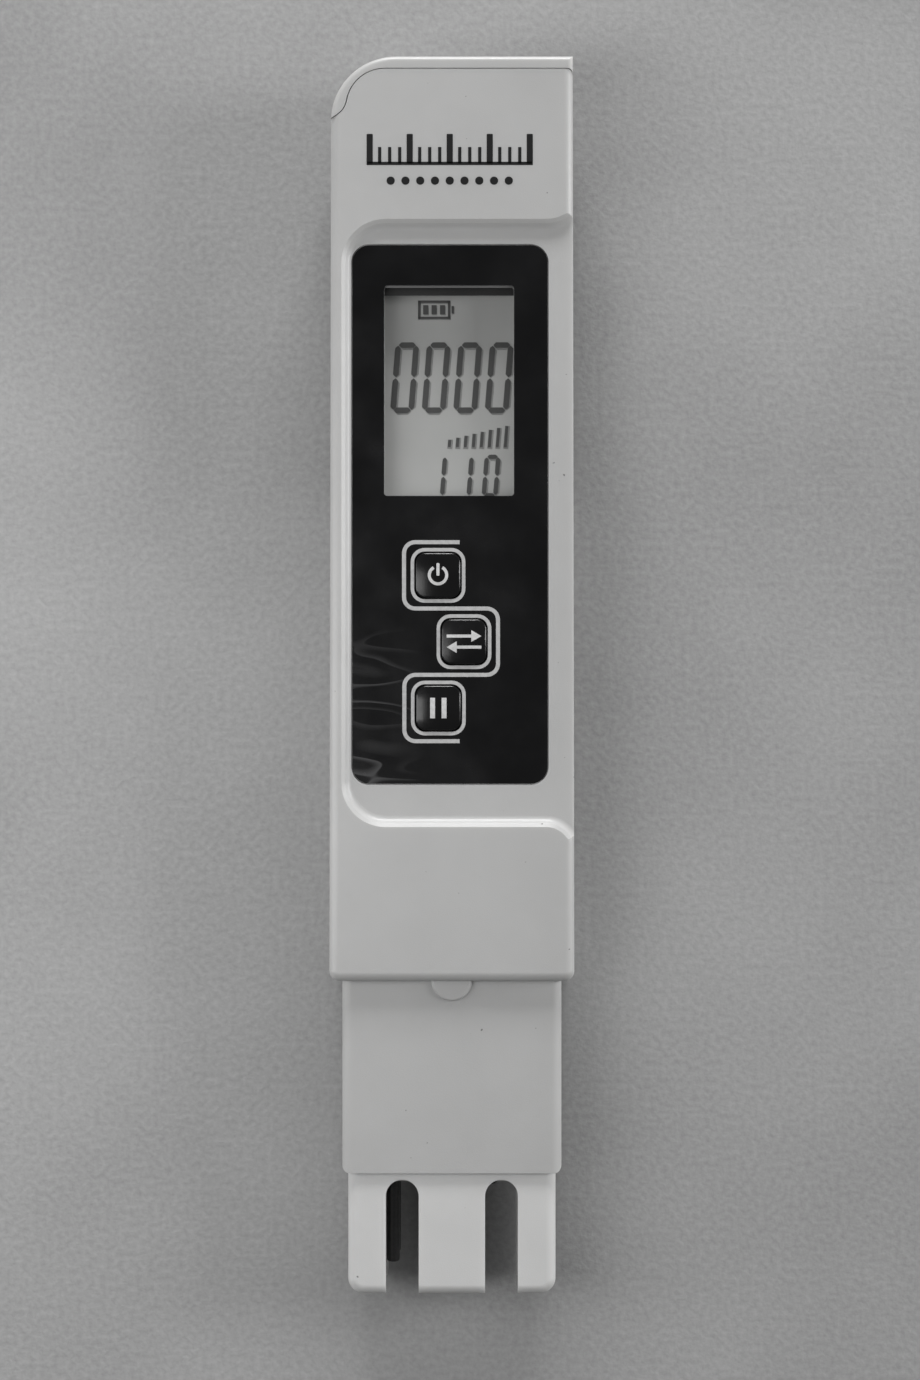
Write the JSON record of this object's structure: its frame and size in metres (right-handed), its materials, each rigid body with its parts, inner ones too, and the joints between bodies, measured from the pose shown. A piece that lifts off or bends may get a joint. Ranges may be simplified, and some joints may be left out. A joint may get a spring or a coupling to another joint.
{
  "type": "tds meter",
  "caption": "Handheld water tester with a display and keys on a flat housing, a pull-off battery cap with pocket clip, and a slotted probe guard.",
  "frame": {"origin": "centre of the bounding box's bottom face: under the middle of the meter, on the plane of its back", "axes": "+Y along the meter from the probe to the battery cap, +Z out of the display face, +X to the right seen from the display"},
  "size_m": [0.03, 0.1518, 0.014],
  "materials": {
    "white_plastic": "satin",
    "inner_white_plastic": "matte",
    "black_film": "glossy",
    "black_key": "glossy",
    "clear_plastic": "clear",
    "display_glass": "clear",
    "polarizer": "satin",
    "connector_rubber": "matte",
    "board_green": "satin",
    "chip_resin": "glossy",
    "small_part_body": "matte",
    "switch_body": "matte",
    "switch_plunger": "matte",
    "bright_steel": "brushed",
    "electrode_black": "satin",
    "bead_black": "glossy",
    "wire_red": "satin",
    "wire_black": "satin",
    "wire_white": "satin",
    "sealing_resin": "glossy"
  },
  "bodies": {
    "housing": {"front_shell": "white_plastic", "back_shell": "white_plastic", "probe_sleeve": "white_plastic", "probe_guard": "white_plastic", "probe_insert": "inner_white_plastic", "display_frame": "inner_white_plastic", "battery_tray": "inner_white_plastic", "overlay_film": "black_film", "display_lens": "clear_plastic", "front_glass": "display_glass", "rear_glass": "display_glass", "front_polarizer": "polarizer", "rear_polarizer": "polarizer", "display_connectors": "connector_rubber", "circuit_board": "board_green", "chip_blob": "chip_resin", "small_parts": "small_part_body", "power_switch": "switch_body", "mode_switch": "switch_body", "hold_switch": "switch_body", "board_screws": "bright_steel", "crystal": "bright_steel", "left_cell": "bright_steel", "right_cell": "bright_steel", "contact_bridge": "bright_steel", "positive_contact": "bright_steel", "negative_contact": "bright_steel", "front_electrode": "electrode_black", "rear_electrode": "electrode_black", "thermistor_bead": "bead_black", "front_electrode_wire": "wire_red", "rear_electrode_wire": "wire_black", "thermistor_wires": "wire_white", "sealing_resin": "sealing_resin"},
    "battery_cap": {"battery_cap": "white_plastic"},
    "power_key": {"power_key": "black_key", "power_plunger": "switch_plunger"},
    "mode_key": {"mode_key": "black_key", "mode_plunger": "switch_plunger"},
    "hold_key": {"hold_key": "black_key", "hold_plunger": "switch_plunger"}
  },
  "joints": [
    {"name": "battery_cap_slide", "type": "slide", "parent": "housing", "child": "battery_cap", "axis": [0, 1, 0], "range_m": [0, 0.012]},
    {"name": "power_key_press", "type": "slide", "parent": "housing", "child": "power_key", "axis": [0, 0, -1], "range_m": [0, 0.0004], "stiffness_N_per_m": 1000},
    {"name": "mode_key_press", "type": "slide", "parent": "housing", "child": "mode_key", "axis": [0, 0, -1], "range_m": [0, 0.0004], "stiffness_N_per_m": 1000},
    {"name": "hold_key_press", "type": "slide", "parent": "housing", "child": "hold_key", "axis": [0, 0, -1], "range_m": [0, 0.0004], "stiffness_N_per_m": 1000}
  ]
}
